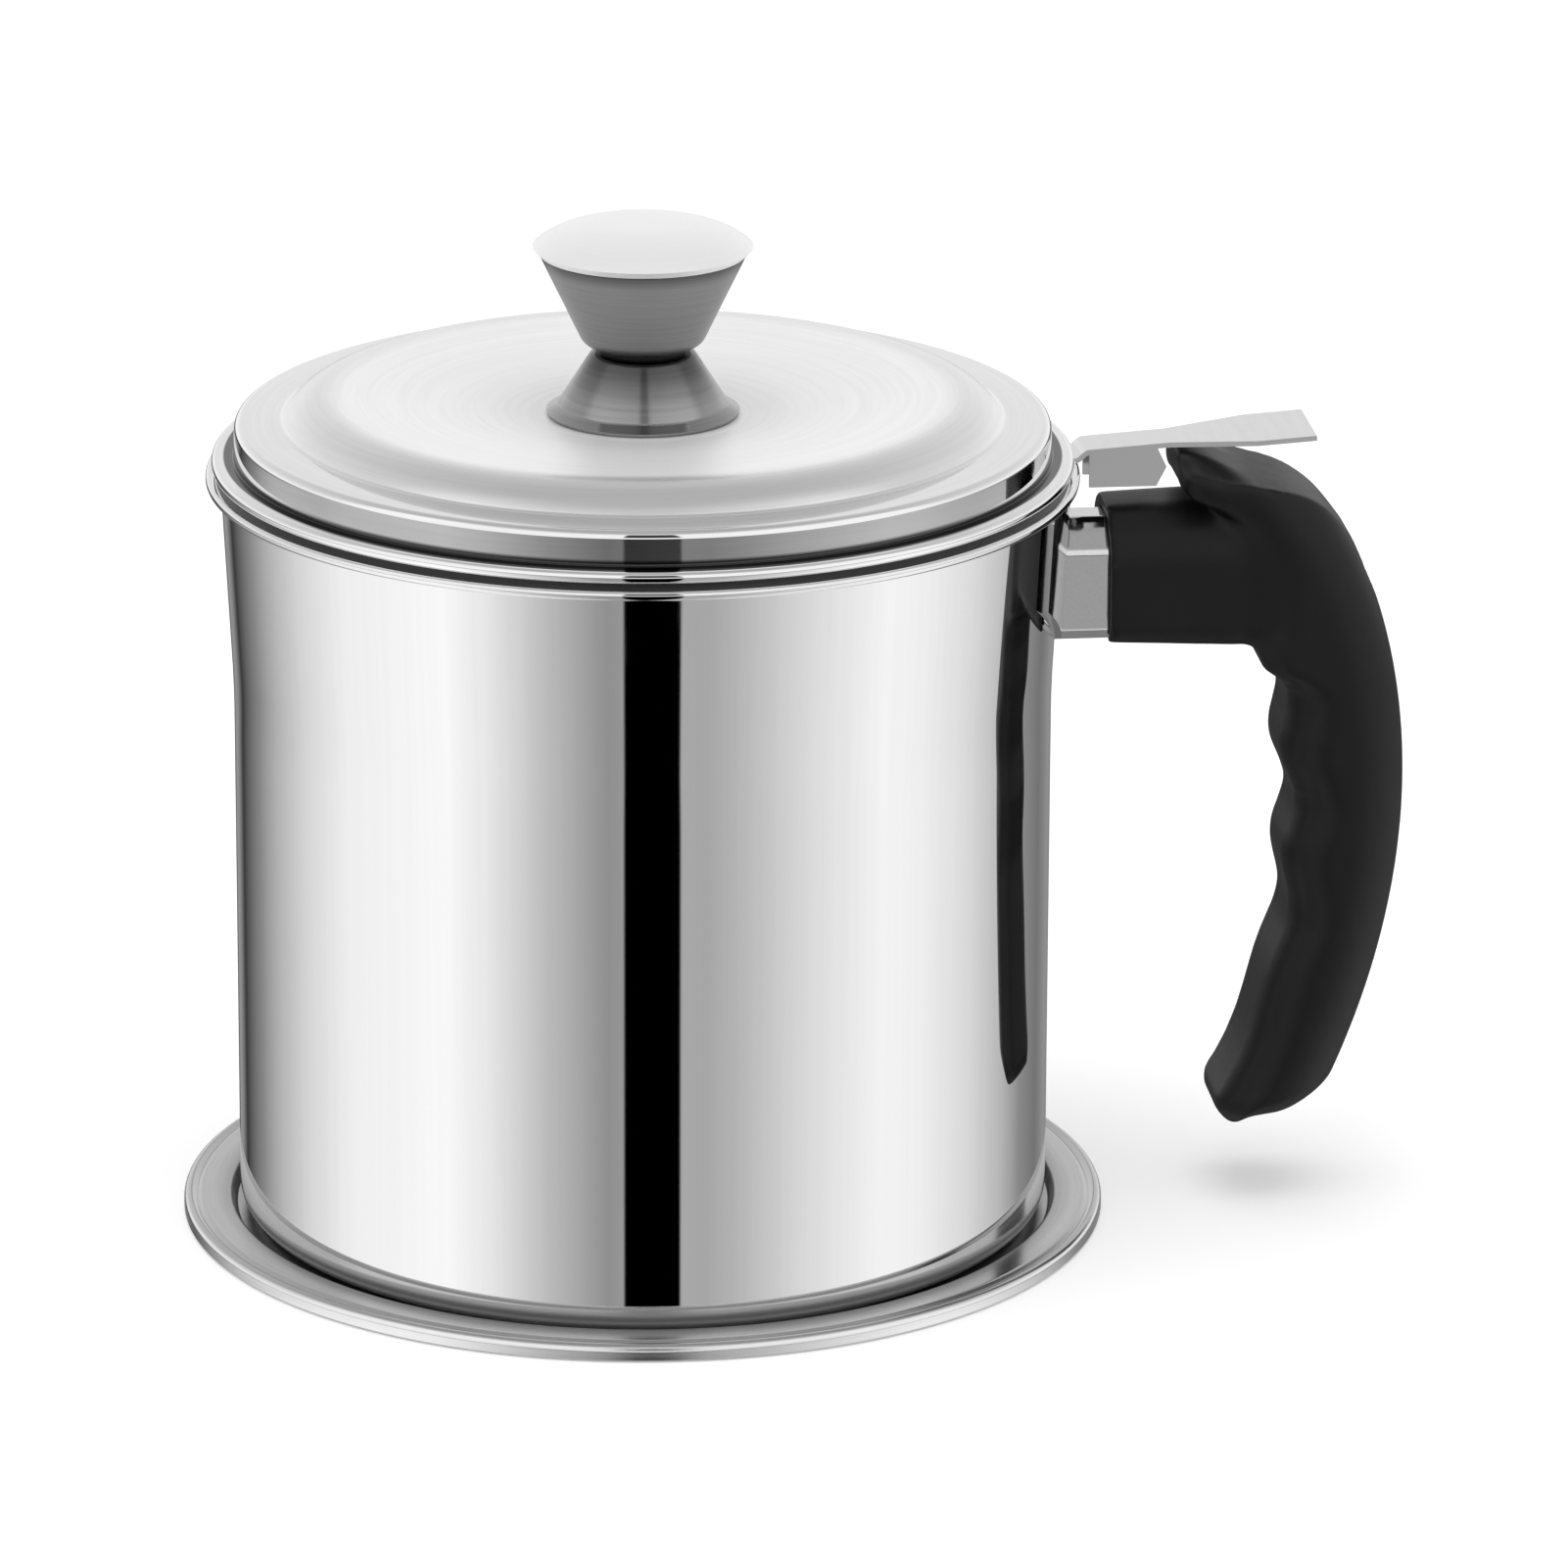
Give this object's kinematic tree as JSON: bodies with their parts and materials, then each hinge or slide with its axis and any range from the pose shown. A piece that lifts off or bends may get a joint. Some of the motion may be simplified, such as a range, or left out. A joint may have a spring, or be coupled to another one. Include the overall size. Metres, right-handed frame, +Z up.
{
  "type": "grease container",
  "caption": "Round covered steel grease pot with a hanging wire-cloth strainer, a knobbed lid, a side handle and a drip tray.",
  "frame": {"origin": "centre of the drip tray's flat underside, on the pot's axis", "axes": "+Z up along the pot's axis; +X from the axis towards the handle; +Y to the left of the handle seen from outside"},
  "size_m": [0.1814, 0.137, 0.1508],
  "materials": {
    "tray_steel": "satin",
    "pot_steel": "mirror polished",
    "bracket_steel": "polished",
    "grip_plastic": "satin black phenolic",
    "fastener_steel": "plain",
    "strainer_steel": "polished",
    "wire_cloth": "woven wire",
    "lid_steel": "mirror polished",
    "collar_plastic": "black",
    "knob_steel": "satin"
  },
  "bodies": {
    "tray": {"drip_tray": "tray_steel"},
    "pot": {"pot_body": "pot_steel", "handle_bracket": "bracket_steel", "bracket_plug": "bracket_steel", "handle_grip": "grip_plastic", "handle_washer": "fastener_steel", "handle_screw": "fastener_steel"},
    "strainer": {"strainer_rim": "strainer_steel", "strainer_mesh": "wire_cloth", "mesh_band": "strainer_steel", "strainer_handle": "strainer_steel"},
    "lid": {"lid_shell": "lid_steel", "lid_plug_ring": "lid_steel", "knob_skirt": "knob_steel", "knob_collar": "collar_plastic", "knob_cup": "knob_steel", "knob_cap": "knob_steel", "knob_nut": "fastener_steel", "knob_washer": "fastener_steel", "knob_screw": "fastener_steel"}
  },
  "joints": [
    {"name": "pot_lift", "type": "slide", "parent": "tray", "child": "pot", "axis": [0, 0, 1], "range_m": [0, 0.03]},
    {"name": "strainer_lift", "type": "slide", "parent": "pot", "child": "strainer", "axis": [0, 0, 1], "range_m": [0, 0.06]},
    {"name": "lid_lift", "type": "slide", "parent": "strainer", "child": "lid", "axis": [0, 0, 1], "range_m": [0, 0.05]}
  ]
}
